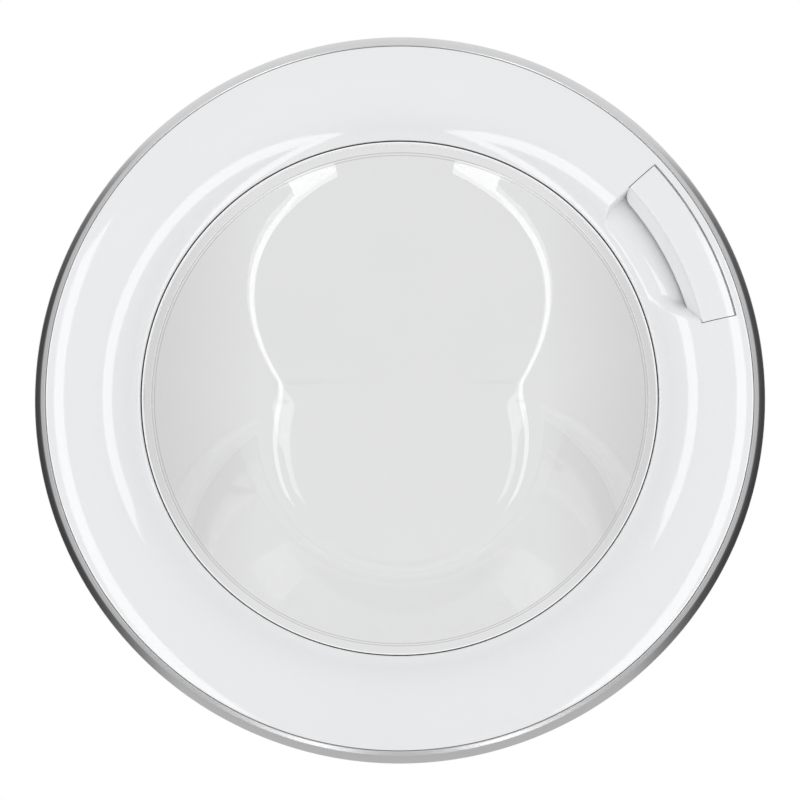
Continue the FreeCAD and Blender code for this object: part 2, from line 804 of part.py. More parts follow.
def make_hinge_bracket():
    """Bent hat bracket: bridge in front of the arm, two ears for the pin and two feet."""
    bridge_y = pin_y - bracket_front
    foot_z = ear_out + bracket_foot
    foot_front_y = plate_front_y - bracket_wall
    hat = flat(
        (plate_front_y, foot_z), (plate_front_y, ear_in), (bridge_y, ear_in),
        (bridge_y, -ear_in), (plate_front_y, -ear_in), (plate_front_y, -foot_z),
        (foot_front_y, -foot_z), (foot_front_y, -ear_out), (bridge_y - bracket_wall, -ear_out),
        (bridge_y - bracket_wall, ear_out), (foot_front_y, ear_out), (foot_front_y, foot_z),
        point=side_point)
    hat.translate(Vector(pin_x - bracket_left, 0, 0))
    hat = upright(hat.extrude(Vector(bracket_left + bracket_right, 0, 0)))
    lobes = [rod(lobe_r, (pin_x, pin_y), ear_in, ear_out), rod(lobe_r, (pin_x, pin_y), -ear_out, -ear_in)]
    cuts = [rod(hinge_pin_radius + running_play, (pin_x, pin_y), -ear_out, ear_out)]
    for low, high in ((ear_out, foot_z), (-foot_z, -ear_out)):
        cuts.append(block((pin_x - bracket_left, bridge_y, low), (pin_x + foot_left, plate_front_y, high)))
    for place in bracket_screw_places():
        cuts.append(bar(screw_radius + thread_play, place, foot_front_y, plate_front_y))
    return whole(hat.fuse(lobes).cut(cuts))


def make_bracket_screws():
    length = inner_wall + bracket_wall + screw_point
    return Part.makeCompound([make_screw(place, plate_back_y, length) for place in bracket_screw_places()])


def main():
    pieces = {
        "outer_frame": make_outer_frame(),
        "trim_ring": make_trim_ring(),
        "glass_gasket": make_glass_gasket(),
        "glass_bowl": make_glass_bowl(),
        "inner_frame": make_inner_frame(),
        "frame_screws": make_frame_screws(),
        "door_handle": make_door_handle(),
        "latch_hook": make_latch_hook(),
        "latch_pin": make_latch_pin(),
        "latch_spring": make_latch_spring(),
        "hinge_arm": make_hinge_arm(),
        "hinge_bracket": make_hinge_bracket(),
        "hinge_pin": make_hinge_pin(),
        "hinge_pin_clip": make_hinge_pin_clip(),
        "hinge_bush_upper": make_hinge_bush(1),
        "hinge_bush_lower": make_hinge_bush(-1),
        "bracket_screws": make_bracket_screws(),
    }
    os.makedirs("parts", exist_ok=True)
    for name, shape in pieces.items():
        shape.exportStep("parts/" + name + ".step")
        print(name, "valid" if shape.isValid() else "not valid", round(shape.Volume / 1000, 2), "cm3")


main()
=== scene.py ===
import math

import bpy
import mathutils
import numpy as np
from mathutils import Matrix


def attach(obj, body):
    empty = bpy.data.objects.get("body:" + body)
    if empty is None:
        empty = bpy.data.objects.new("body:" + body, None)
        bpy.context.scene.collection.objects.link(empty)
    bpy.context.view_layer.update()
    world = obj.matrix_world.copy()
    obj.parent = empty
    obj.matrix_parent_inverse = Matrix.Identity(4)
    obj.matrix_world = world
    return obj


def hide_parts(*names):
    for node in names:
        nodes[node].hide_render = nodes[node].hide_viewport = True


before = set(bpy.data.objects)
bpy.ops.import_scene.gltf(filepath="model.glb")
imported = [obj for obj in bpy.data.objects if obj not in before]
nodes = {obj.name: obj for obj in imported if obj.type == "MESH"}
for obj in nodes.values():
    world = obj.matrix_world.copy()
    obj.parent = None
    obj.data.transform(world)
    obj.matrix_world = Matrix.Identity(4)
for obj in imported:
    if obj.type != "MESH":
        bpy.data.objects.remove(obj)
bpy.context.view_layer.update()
mm = 0.001
print("frame loaded:", len(nodes), "nodes")


class Flow:
    # one shader socket; arithmetic on it adds Math nodes, node() adds any other node
    def __init__(self, tree, socket=None):
        self.tree = tree
        self.socket = socket

    def node(self, kind, settings, sockets, output=0):
        made = self.tree.nodes.new(kind)
        for key, value in settings.items():
            setattr(made, key, value)
        for key, value in sockets.items():
            if isinstance(value, Flow):
                self.tree.links.new(value.socket, made.inputs[key])
            else:
                made.inputs[key].default_value = value
        return Flow(self.tree, made.outputs[output] if made.outputs else None)

    def maths(self, operation, first, second=0.0):
        return self.node("ShaderNodeMath", {"operation": operation}, {0: first, 1: second})

    def __add__(self, other):
        return self.maths("ADD", self, other)

    def __radd__(self, other):
        return self.maths("ADD", other, self)

    def __sub__(self, other):
        return self.maths("SUBTRACT", self, other)

    def __rsub__(self, other):
        return self.maths("SUBTRACT", other, self)

    def __mul__(self, other):
        return self.maths("MULTIPLY", self, other)

    def __rmul__(self, other):
        return self.maths("MULTIPLY", other, self)

    def __truediv__(self, other):
        return self.maths("DIVIDE", self, other)

    def __rtruediv__(self, other):
        return self.maths("DIVIDE", other, self)

    def __pow__(self, other):
        return self.maths("POWER", self, other)

    def __rpow__(self, other):
        return self.maths("POWER", other, self)

    def place(self):
        return self.node("ShaderNodeTexCoord", {}, {}, "Object")

    def part(self, place, axis):
        return self.node("ShaderNodeSeparateXYZ", {}, {"Vector": place}, axis)

    def axisDistance(self, place):
        # distance from the door's axis, which runs along Y
        across, height = self.part(place, "X"), self.part(place, "Z")
        return self.maths("SQRT", across * across + height * height)

    def noise(self, place, scale, detail=3.0, rough=0.5):
        sockets = {"Vector": place, "Scale": scale, "Detail": detail, "Roughness": rough}
        return self.node("ShaderNodeTexNoise", {}, sockets)

    def clamp(self, value):
        return self.node("ShaderNodeClamp", {}, {"Value": value})

    def blendColour(self, share, first, second):
        sockets = {"Factor": share, 6: first, 7: second}
        return self.node("ShaderNodeMix", {"data_type": "RGBA"}, sockets, 2)

    def bump(self, height, strength, distance):
        sockets = {"Height": height, "Strength": strength, "Distance": distance}
        return self.node("ShaderNodeBump", {}, sockets)


def newMaterial(name):
    made = bpy.data.materials.new(name)
    made.use_nodes = True
    made.node_tree.nodes.clear()
    return made, Flow(made.node_tree)


def finishMaterial(flow, sockets, kind="ShaderNodeBsdfPrincipled"):
    surface = flow.node(kind, {}, sockets)
    flow.node("ShaderNodeOutputMaterial", {}, {"Surface": surface})


def grey(level, tint=(1.0, 1.0, 1.0)):
    return (level * tint[0], level * tint[1], level * tint[2], 1.0)


# Moulded plastics: faint clouding of the colour, uneven gloss and a fine skin texture
# (here and below, a noise is given as its scale, detail and, where it differs, roughness)
moulding = {"cloud": (9.0, 2.0), "uneven": (55.0, 2.0), "spread": 0.015, "gloss": (0.8, 0.4),
            "skinDepth": 0.0004}


def plasticFinish(name, level, tint, roughness, grain, grainSize):
    made, flow = newMaterial(name)
    place = flow.place()
    spread, gloss = moulding["spread"], moulding["gloss"]
    dull, pale = grey(level * (1 - spread), tint), grey(level * (1 + spread), tint)
    finishMaterial(flow, {
        "Base Color": flow.blendColour(flow.noise(place, *moulding["cloud"]), dull, pale),
        "Roughness": roughness * (gloss[0] + gloss[1] * flow.noise(place, *moulding["uneven"])),
        "Specular IOR Level": 0.5,
        "Normal": flow.bump(flow.noise(place, grainSize), grain, moulding["skinDepth"])})
    return made


# Plated, ground and cast metals: streaks along one direction and cloudy plating
plating = {"lines": (220.0, 4.0, 0.6), "cloud": (60.0, 4.0, 0.6), "gloss": (0.7, 0.6),
           "cloudShare": 0.5, "streakDepth": 0.0003}


def metalFinish(name, level, tint, roughness, streak, streakScale, blotch):
    made, flow = newMaterial(name)
    place = flow.place()
    stretched = flow.node("ShaderNodeMapping", {}, {"Vector": place, "Scale": streakScale})
    lines = flow.noise(stretched, *plating["lines"])
    cloud = flow.noise(place, *plating["cloud"])
    dull, pale = grey(level * (1 - blotch), tint), grey(level * (1 + blotch), tint)
    relief = lines + plating["cloudShare"] * cloud
    finishMaterial(flow, {
        "Base Color": flow.blendColour(cloud, dull, pale),
        "Metallic": 1.0,
        "Roughness": roughness * (plating["gloss"][0] + plating["gloss"][1] * lines),
        "Normal": flow.bump(relief, streak, plating["streakDepth"])})
    return made


def fullTurn(columns):
    return np.linspace(0, 2 * np.pi, columns, endpoint=False)[None, :]


def aroundAxis(radius, depth, turn):
    # places at a radius and a depth, turned about the door's axis
    return np.stack([radius * np.cos(turn), depth + 0 * turn, radius * np.sin(turn)], -1)


def gridFaces(rows, columns, wrapRows):
    # quads of a grid whose columns close on themselves, and whose rows do so if asked
    row = np.arange(rows if wrapRows else rows - 1)[:, None]
    column = np.arange(columns)[None, :]
    nextRow = (row + 1) % rows
    nextColumn = (column + 1) % columns
    corners = [row * columns + column, row * columns + nextColumn,
               nextRow * columns + nextColumn, nextRow * columns + column]
    return np.stack(corners, -1).reshape(-1, 4)


def cappedRows(rows):
    # rings of points joined by quads, with a fan of triangles to a middle point at both ends
    columns = rows.shape[1]
    count = len(rows) * columns
    column = np.arange(columns)
    following = (column + 1) % columns
    startFan = np.stack([0 * column + count, following, column, column], 1)
    column, following = column + count - columns, following + count - columns
    endFan = np.stack([0 * column + count + 1, column, following, following], 1)
    middles = np.stack([rows[0].mean(0), rows[-1].mean(0)])
    points = np.concatenate([rows.reshape(-1, 3), middles])
    return points, np.concatenate([gridFaces(len(rows), columns, False), startFan, endFan])


def signedVolume(points, quads):
    # sum of the tetrahedra between the origin and the faces, negative if they face inwards
    first, second, third, fourth = (points[quads[:, k]] for k in range(4))
    return (np.einsum("ij,ij->", first, np.cross(second, third))
            + np.einsum("ij,ij->", first, np.cross(third, fourth))) / 6


def meshPiece(name, points, faces, body, material, replaced, sharp=35.0):
    # points in millimetres, faces as rows of 4 corners (a triangle repeats its last corner)
    points = np.ascontiguousarray(points, float).reshape(-1, 3)
    if signedVolume(points, faces) < 0:
        faces = faces[:, ::-1]
    turned = faces[:, 0] == faces[:, 1]
    faces = np.where(turned[:, None], np.roll(faces, -1, 1), faces)
    triangles = turned | (faces[:, 2] == faces[:, 3])
    lengths = np.where(triangles, 3, 4)
    keep = np.ones_like(faces, bool)
    keep[triangles, 3] = False
    mesh = bpy.data.meshes.new(name)
    mesh.vertices.add(len(points))
    mesh.vertices.foreach_set("co", (points * mm).astype(np.float32).ravel())
    mesh.loops.add(int(lengths.sum()))
    mesh.loops.foreach_set("vertex_index", faces[keep].astype(np.int32))
    mesh.polygons.add(len(faces))
    starts = np.concatenate([[0], np.cumsum(lengths)[:-1]])
    mesh.polygons.foreach_set("loop_start", starts.astype(np.int32))
    mesh.update(calc_edges=True)
    mesh.validate()
    mesh.polygons.foreach_set("use_smooth", np.ones(len(mesh.polygons), bool))
    mesh.set_sharp_from_angle(angle=math.radians(sharp))
    made = bpy.data.objects.new(name, mesh)
    bpy.context.scene.collection.objects.link(made)
    made.data.materials.append(material)
    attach(made, body)
    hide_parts(*replaced)
    print("made", name, len(mesh.polygons), "faces")


def smoothStep(value):
    # cubic ease from 0 to 1
    value = np.clip(value, 0.0, 1.0)
    return value * value * (3 - 2 * value)


def smoothMin(first, second, width):
    # lesser of two heights, with a round transition of that width
    share = np.clip(0.5 + 0.5 * (second - first) / width, 0, 1)
    return second + (first - second) * share - width * share * (1 - share)


def circleSide(radius, offset):
    # height of a circle over its centre line at an offset from its middle
    return np.sqrt(np.maximum(radius ** 2 - offset ** 2, 0))


def arc(centre, radius, start, end, count):
    # points of an arc in the section plane: radius outwards, depth along +Y
    turn = np.radians(np.linspace(start, end, count))
    return np.stack([centre[0] + radius * np.cos(turn), centre[1] + radius * np.sin(turn)], 1)


# White ring: crown and flare round the window, with the finger recess and the handle's bay
ring = {
    "outerR": 226.6, "crestR": 206.3, "crestY": -49.0, "crownR": 53.0, "innerSlope": 37.0,
    "lipSlope": 22.0, "windowR": 167.0, "wall": 2.6, "backY": -18.0, "footR": 176.0,
    "lipToFoot": 6.1,
    # rounded edges: the centre's sink as a share of the radius, and the angle at the face
    "edgeRound": 0.7, "outerEdge": (0.8, -57.0), "lipEdge": (0.9, -110.0),
    # bay with a ledge under the handle, then the finger recess and its two ends
    "handleAngle": 27.5, "halfSpan": 14.5, "bayInR": 198.7, "bayOutR": 221.9, "floorY": -24.0,
    "ledgeInR": 220.7, "ledgeY": -43.2,
    "recessInR": 172.0, "recessRun": 26.7, "fallPower": 1.6, "dishY": -32.0, "cornerR": 13.0,
    "upperRun": 2.4, "lowerRun": 15.0, "lowerShift": 5.0,
    # grid: rows across the section, and steps in degrees near the handle and elsewhere
    "faceRows": 112, "skinRows": 40, "edgeRows": 5, "stepGap": 0.01, "faceMargin": 0.5,
    "nearSpan": 19.0, "nearStep": 0.2, "farStep": 1.0, "bayStepAngle": 0.004,
}
ring["crownY"] = ring["crestY"] + ring["crownR"]
steep, gentle = math.radians(ring["innerSlope"]), math.radians(ring["lipSlope"])
ring["joinR"] = ring["crestR"] - ring["crownR"] * math.sin(steep)
ring["flareRad"] = (ring["joinR"] - ring["windowR"]) / (math.sin(steep) - math.sin(gentle))
ring["flareR"] = ring["crestR"] - (ring["crownR"] + ring["flareRad"]) * math.sin(steep)
ring["flareY"] = ring["crownY"] - (ring["crownR"] + ring["flareRad"]) * math.cos(steep)
ring["lipY"] = ring["flareY"] + ring["flareRad"] * math.cos(gentle)
ring["footY"] = ring["lipY"] + ring["lipToFoot"]


def faceDepth(radius):
    # crown is an arc about the crest, flare is a reversed arc down to the window
    crown = ring["crownY"] - circleSide(ring["crownR"], radius - ring["crestR"])
    flare = ring["flareY"] + circleSide(ring["flareRad"], radius - ring["flareR"])
    return np.where(radius >= ring["joinR"], crown, flare)


def recessDepth(radius, angle):
    # how far the ring's face drops at a place: soft scoop towards the handle, square bay under it
    offset = np.degrees(np.angle(np.exp(1j * np.radians(angle - ring["handleAngle"]))))
    arcLength = np.radians(1.0) * radius
    inwards = radius - ring["recessInR"]
    fall = 1 - (1 - np.clip(inwards / ring["recessRun"], 0, 1)) ** ring["fallPower"]
    near = np.clip(ring["cornerR"] - inwards, 0, ring["cornerR"])
    rounding = ring["cornerR"] - circleSide(ring["cornerR"], near)
    upper = (ring["halfSpan"] - offset) * arcLength - rounding
    reach = np.clip(inwards / (ring["bayInR"] - ring["recessInR"]), 0, 1)
    lowEnd = -ring["halfSpan"] + ring["lowerShift"] * (1 - reach)
    lower = (offset - lowEnd) * arcLength
    ends = smoothStep(upper / ring["upperRun"]) * smoothStep(lower / ring["lowerRun"])
    inBay = (radius > ring["bayInR"]) & (radius < ring["bayOutR"])
    inSpan = np.abs(offset) < ring["halfSpan"]
    ends = np.where(inBay, inSpan, ends * (radius <= ring["bayInR"]))
    fall = np.where(inBay, 1.0, fall)
    floor = np.where(radius > ring["bayInR"], ring["floorY"], ring["dishY"])
    floor = np.where(radius > ring["ledgeInR"], ring["ledgeY"], floor)
    return np.maximum(floor - faceDepth(radius), 0) * fall * ends


def ringSection():
    # closed section: outer wall, crown, flare, lip, foot and the hidden inner skin
    soft, wall, gap = ring["edgeRound"], ring["wall"], ring["stepGap"]
    outerR, windowR, footR, footY = ring["outerR"], ring["windowR"], ring["footR"], ring["footY"]
    steps = np.array([ring["bayInR"], ring["ledgeInR"], ring["bayOutR"]])
    face = np.linspace(outerR - soft, windowR + soft, ring["faceRows"])
    face = np.sort(np.concatenate([face, steps - gap, steps + gap]))[::-1]
    front = np.stack([face, faceDepth(face)], 1)
    skin = np.linspace(windowR + wall, outerR - wall, ring["skinRows"])
    inner = np.stack([skin, faceDepth(skin) + wall], 1)
    sink, turn = ring["outerEdge"]
    centre = (outerR - soft, faceDepth(outerR - soft) + soft * sink)
    outerCorner = arc(centre, soft, 0, turn, ring["edgeRows"])[:-1]
    sink, turn = ring["lipEdge"]
    centre = (windowR + soft, faceDepth(windowR + soft) + soft * sink)
    lipCorner = arc(centre, soft, turn, -180, ring["edgeRows"])
    foot = [(windowR, footY), (footR, footY), (footR, footY - wall), (windowR + wall, footY - wall)]
    back = [(outerR - wall, ring["backY"]), (outerR, ring["backY"])]
    return np.concatenate([outerCorner, front, lipCorner, foot, inner, back])


def ringColumns():
    # angles round the ring: even, but close together near the handle and doubled at the bay's ends
    half, tiny = ring["halfSpan"], ring["bayStepAngle"]
    span, step = ring["nearSpan"], ring["farStep"]
    near = np.arange(-span, span + 0.01, ring["nearStep"])
    edges = [-half - tiny, -half + tiny, half - tiny, half + tiny]
    far = np.arange(span + step, 360.1 - span - step, step)
    return ring["handleAngle"] + np.concatenate([np.sort(np.concatenate([near, edges])), far])


def buildRing(material):
    # the section at every angle, with its face pushed back by the recess's depth there
    section = ringSection()
    angle = ringColumns()[None, :]
    radius, depth = section[:, 0:1], section[:, 1:2]
    drop = recessDepth(radius + 0 * angle, angle + 0 * radius)
    isFace = np.abs(depth - faceDepth(radius)) < ring["wall"] + ring["faceMargin"]
    points = aroundAxis(radius, depth + np.where(isFace, drop, 0), np.radians(angle))
    faces = gridFaces(len(section), angle.shape[1], True)
    meshPiece("ring_face", points, faces, "door", material, ["outer_frame"])


# Bright ring: narrow sloping land beside the seam, then a rounded flank down to the rear edge
trim = {"innerR": 227.0, "outerR": 235.0, "land": 3.2, "landSlope": 30.0, "flankSlope": 50.0,
        "shoulder": 10.5, "wall": 2.0, "flange": 8.5, "rearY": -16.0, "edgeRound": 0.6,
        "seamSink": 0.3, "landRows": 6, "flankRows": 14, "rearRows": 5, "columns": 720,
        "sharp": 50.0, "shade": (0.70, 0.76), "cloudScale": 25.0, "lineScale": 9000.0,
        "lineDetail": 2.0, "gloss": (0.22, 0.12), "bump": (0.06, 0.0001)}


def buildTrim(material):
    # land is a straight slope; flank is an arc that leaves the land's edge at its own slope and
    # steepens on its way to the outer radius
    innerR, outerR, wall, soft = (trim[key] for key in ("innerR", "outerR", "wall", "edgeRound"))
    rearY, flangeR = trim["rearY"], outerR - trim["flange"]
    seamY = float(faceDepth(np.array(ring["outerR"])))
    edgeR = innerR + trim["land"]
    edgeY = seamY + trim["land"] * math.tan(math.radians(trim["landSlope"]))
    wideY = seamY + trim["shoulder"]
    chord = math.degrees(math.atan2(wideY - edgeY, outerR - edgeR))
    start = trim["flankSlope"]
    slope, half = math.radians(start), math.radians(chord - start)
    bulge = math.hypot(wideY - edgeY, outerR - edgeR) / (2 * math.sin(half))
    centre = (edgeR - bulge * math.sin(slope), edgeY + bulge * math.cos(slope))
    flank = arc(centre, bulge, start - 90, 2 * chord - start - 90, trim["flankRows"])
    landStart = (innerR + soft, seamY + soft * trim["seamSink"])
    land = np.linspace(landStart, (edgeR, edgeY), trim["landRows"])[:-1]
    rear = arc((outerR - soft, rearY - soft), soft, 0, 90, trim["rearRows"])
    inner = [(flangeR, rearY), (flangeR, rearY - wall), (outerR - wall, rearY - wall),
             (outerR - wall, wideY), (innerR, wideY), (innerR, seamY + soft)]
    section = np.concatenate([land, flank, rear, inner])
    points = aroundAxis(section[:, 0:1], section[:, 1:2], fullTurn(trim["columns"]))
    faces = gridFaces(len(section), trim["columns"], True)
    meshPiece("bright_ring", points, faces, "door", material, ["trim_ring"],
              trim["sharp"])


def silverFinish():
    # satin plating: fine turned lines round the ring, told by the distance from its axis
    made, flow = newMaterial("satin_silver")
    place = flow.place()
    along = flow.axisDistance(place) + flow.part(place, "Y")
    lines = flow.node("ShaderNodeTexNoise", {"noise_dimensions": "1D"},
                      {"W": along * trim["lineScale"], "Detail": trim["lineDetail"]})
    cloud = flow.noise(place, trim["cloudScale"])
    finishMaterial(flow, {
        "Base Color": flow.blendColour(cloud, *map(grey, trim["shade"])),
        "Metallic": 1.0,
        "Roughness": trim["gloss"][0] + trim["gloss"][1] * lines,
        "Normal": flow.bump(lines, *trim["bump"])})
    return made


# Glass bowl: leaning cone, flat end, round ridge and hollow scoop, as one depth over the flange
bowl = {
    "lipToGlass": 8.1, "flange": 5.0, "flangeR": 178.0, "mouthR": 161.0, "endR": 86.0,
    "depth": 65.0, "drop": 23.0, "ridgeZ": 3.0, "ridgeR": 24.0, "ridgeRun": 4.0,
    "scoopSlope": 36.0, "scoopEndSlope": 3.5, "scoopEndDepth": 9.8,
    # widths of the round folds, front and back: in the upper and lower lobe, then at the mouth
    "foldWidth": (4.0, 8.0), "backFold": (6.0, 18.0), "foldZ": 16.0, "foldRun": 18.0,
    "mouthWidth": 0.7, "backMouth": 0.9, "backMouthR": 161.7,
    # rim, and the slack that keeps the flange off the gasket and the clamp
    "edgeRound": 1.2, "clamped": 0.05, "clampedR": 165.4,
    # grid circles in bands, each up to the next radius
    "bandR": (0.5, 66.0, 100.0, 152.0, 166.0), "bandRows": (40, 40, 34, 26, 6),
    "columns": 360, "rimRows": 7, "sharp": 60.0,
    # look: tint, painted shade that darkens the side walls, a painted dark line round the mouth,
    # waviness and haze
    "tint": (0.75, 0.77), "tintHue": (0.995, 1.0, 1.0), "sideShade": 0.65, "sideShadeX": 95.0,
    "sideShadeRun": 60.0, "line": 0.35, "lineR": 160.3, "lineHalf": 0.5, "wave": (14.0, 1.0),
    "waveBump": (0.03, 0.002), "haze": (40.0, 2.0), "hazeRough": 0.012, "ior": 1.5,
}
bowl["frontY"] = ring["lipY"] + bowl["lipToGlass"]


def scoopDepth(height):
    # back wall from the side: flat end, ridge arc, short straight face, scoop arc, straight run out
    depth, ridgeZ, ridgeR, run = (bowl[key] for key in ("depth", "ridgeZ", "ridgeR", "ridgeRun"))
    steepEnd, flatEnd = math.radians(bowl["scoopSlope"]), math.radians(bowl["scoopEndSlope"])
    sine, cosine = math.sin(steepEnd), math.cos(steepEnd)
    ridgeFoot = depth - ridgeR * (1 - cosine)
    scoopTop = ridgeFoot - run * sine
    scoopR = (scoopTop - bowl["scoopEndDepth"]) / (math.cos(flatEnd) - cosine)
    scoopZ = ridgeZ + (ridgeR + scoopR) * sine + run * cosine
    scoopY = scoopTop + scoopR * cosine
    ridge = depth - ridgeR + circleSide(ridgeR, height - ridgeZ)
    ridgeEnd = ridgeZ + ridgeR * sine
    straight = ridgeFoot - (height - ridgeEnd) * math.tan(steepEnd)
    scoop = scoopY - circleSide(scoopR, height - scoopZ)
    scoopStart, scoopEnd = scoopZ - scoopR * sine, scoopZ - scoopR * math.sin(flatEnd)
    runOut = scoopY - scoopR * math.cos(flatEnd) - (height - scoopEnd) * math.tan(flatEnd)
    places = [height < ridgeZ, height < ridgeEnd, height < scoopStart, height < scoopEnd]
    return np.select(places, [depth + 0 * height, ridge, straight, scoop], runOut)


def coneDepth(across, height, mouthR):
    # depth at which the leaning cone passes through a place: root of a quadratic in the share
    # of the whole depth
    taper = bowl["mouthR"] - bowl["endR"]
    square = taper ** 2 - bowl["drop"] ** 2
    linear = 2 * mouthR * taper + 2 * bowl["drop"] * height
    constant = mouthR ** 2 - across ** 2 - height ** 2
    root = np.sqrt(np.maximum(linear ** 2 - 4 * square * constant, 0))
    return bowl["depth"] * (linear - root) / (2 * square)


def bowlDepth(across, height, mouthR, foldWidth, mouthWidth):
    # lesser of cone and back wall, with a round fold that widens in the lower lobe; then the
    # greater of that and the flat land
    lower = smoothStep((bowl["foldZ"] - height) / bowl["foldRun"])
    fold = foldWidth[0] + (foldWidth[1] - foldWidth[0]) * lower
    body = smoothMin(coneDepth(across, height, mouthR), scoopDepth(height), fold)
    return -smoothMin(-body, 0 * body, mouthWidth)


def buildBowl(material):
    # grid circles follow the leaning cone: their centre drops as they close in on the bowl's end
    turn = fullTurn(bowl["columns"])
    edges = (*bowl["bandR"], bowl["flangeR"] - bowl["edgeRound"])
    bands = [np.linspace(start, end, rows)[:-1]
             for start, end, rows in zip(edges, edges[1:], bowl["bandRows"])]
    radii = np.concatenate([*bands, edges[-1:]])[:, None]
    inside = np.clip((bowl["mouthR"] - radii) / (bowl["mouthR"] - bowl["endR"]), 0, 1)
    across = radii * np.cos(turn)
    height = radii * np.sin(turn) - bowl["drop"] * inside
    clear = bowl["clamped"] * (radii > bowl["clampedR"])
    front = bowlDepth(across, height, bowl["mouthR"], bowl["foldWidth"], bowl["mouthWidth"])
    back = bowlDepth(across, height, bowl["backMouthR"], bowl["backFold"], bowl["backMouth"])
    front = np.stack([across, bowl["frontY"] + front + clear, height], -1)
    back = np.stack([across, bowl["frontY"] + back + bowl["flange"] - clear, height], -1)
    bend = np.radians(np.linspace(-90, 90, bowl["rimRows"])[1:-1])[:, None]
    rimR = bowl["flangeR"] - bowl["edgeRound"] * (1 - np.cos(bend))
    rimY = bowl["frontY"] + bowl["flange"] / 2 * (1 + np.sin(bend))
    rows = np.concatenate([front, aroundAxis(rimR, rimY, turn), back[::-2]])
    points, faces = cappedRows(rows)
    meshPiece("door_glass", points, faces, "door", material, ["glass_bowl"],
              bowl["sharp"])


def glassFinish():
    # pressed glass: grey tint with painted shade that darkens it towards the side walls, shallow
    # waviness and a thin painted dark line round the mouth
    made, flow = newMaterial("pressed_glass_painted_shade")
    place = flow.place()
    wave = flow.noise(place, *bowl["wave"])
    # painted shade: a thin dark grey ring round the mouth, where its rounding looks dark
    fromMouthShade = flow.maths("ABSOLUTE", flow.axisDistance(place) - bowl["lineR"] * mm)
    line = flow.maths("MAXIMUM", 1.0 - fromMouthShade / (bowl["lineHalf"] * mm), 0.0)
    # painted shade: the tint turns darker grey with distance across the door, in the side walls
    aside = flow.maths("ABSOLUTE", flow.part(place, "X"))
    sideShade = flow.clamp((aside - bowl["sideShadeX"] * mm) / (bowl["sideShadeRun"] * mm))
    tint = flow.blendColour(wave, *(grey(level, bowl["tintHue"]) for level in bowl["tint"]))
    tint = flow.blendColour(sideShade, tint, grey(bowl["sideShade"]))
    finishMaterial(flow, {
        "Base Color": flow.blendColour(line, tint, grey(bowl["line"])),
        "Roughness": bowl["hazeRough"] * flow.noise(place, *bowl["haze"]),
        "Transmission Weight": 1.0,
        "IOR": bowl["ior"],
        "Normal": flow.bump(wave, *bowl["waveBump"])})
    return made


# Sealing ring: pale towards the glass, with a painted dark edge along the frame's lip for the shade
# in the gap there, and a painted glow on its pale part
gasket = {"edgeR": 166.1, "edgeY": -31.2, "pale": (0.70, 0.76), "dark": (0.018, 0.035),
          "glow": 0.45, "speck": (900.0, 3.0, 0.6), "gloss": (0.5, 0.25), "bump": (0.2, 0.0003)}


def rubberFinish():
    made, flow = newMaterial("dark_rubber")
    place = flow.place()
    speck = flow.noise(place, *gasket["speck"])
    # painted shade: the gasket's front along the frame's lip is near black, for the shaded gap
    # there
    outside = flow.maths("GREATER_THAN", flow.axisDistance(place), gasket["edgeR"] * mm)
    edge = outside * flow.maths("LESS_THAN", flow.part(place, "Y"), gasket["edgeY"] * mm)
    pale = flow.blendColour(speck, *map(grey, gasket["pale"]))
    dark = flow.blendColour(speck, *map(grey, gasket["dark"]))
    finishMaterial(flow, {
        "Base Color": flow.blendColour(edge, pale, dark),
        "Roughness": gasket["gloss"][0] + gasket["gloss"][1] * speck,
        # painted light: the pale part glows, though it is no lamp
        "Emission Color": flow.blendColour(edge, pale, grey(0.0)),
        "Emission Strength": gasket["glow"],
        "Normal": flow.bump(speck, *gasket["bump"])})
    return made


# Screws: pan head with a cross recess, plain shank and a blunt point
screw = {"radius": 2.0, "headR": 4.0, "headHeight": 2.4, "headRound": 0.9, "point": 1.2,
         "crossArm": 2.3, "crossHalf": 0.5, "crossDepth": 1.2, "crossSoft": 0.35,
         "middleR": 0.15, "topRows": 20, "rimRows": 7, "columns": 64,
         "circleR": 207.0, "first": 54.0, "pitch": 36.0, "count": 9, "seatY": -18.2, "length": 14.0,
         "bracketX": -202.0, "bracketZ": (32.9, 44.9), "bracketSeatY": -17.0, "bracketLength": 6.5}


def buildScrews(name, places, seatY, length, replaced, material):
    # head is a disc whose rim drops as a quarter circle; two crossed bars with soft edges sink
    # into it
    turn = fullTurn(screw["columns"])
    headR, rounding, soft = screw["headR"], screw["headRound"], screw["crossSoft"]
    radius, point, flatR = screw["radius"], screw["point"], headR - rounding
    flat = np.linspace(screw["middleR"], flatR, screw["topRows"])
    rim = flatR + rounding * np.sin(np.radians(np.linspace(0, 90, screw["rimRows"])[1:]))
    topR = np.concatenate([flat, rim])[:, None]
    edge = np.clip((topR - headR + rounding) / rounding, 0, 1)
    fall = rounding * (1 - np.sqrt(1 - edge ** 2))
    across, height = np.abs(topR * np.cos(turn)), np.abs(topR * np.sin(turn))
    narrow, wide = np.minimum(across, height), np.maximum(across, height)
    cross = (smoothStep((screw["crossHalf"] - narrow) / soft + 0.5)
             * smoothStep((screw["crossArm"] - wide) / soft + 0.5))
    topY = seatY + screw["headHeight"] - fall - screw["crossDepth"] * cross
    lowR = np.array([headR, radius, radius, radius - point])[:, None]
    lowY = np.array([seatY, seatY, seatY - length + point, seatY - length])[:, None]
    rows = aroundAxis(np.concatenate([topR, lowR]), np.concatenate([topY, lowY + 0 * turn]), turn)
    points, faces = cappedRows(rows)
    places = np.stack([places[:, 0], 0 * places[:, 0], places[:, 1]], -1)
    faces = faces[None] + (np.arange(len(places)) * len(points))[:, None, None]
    points = points[None] + places[:, None]
    meshPiece(name, points, faces.reshape(-1, 4), "door", material, replaced)


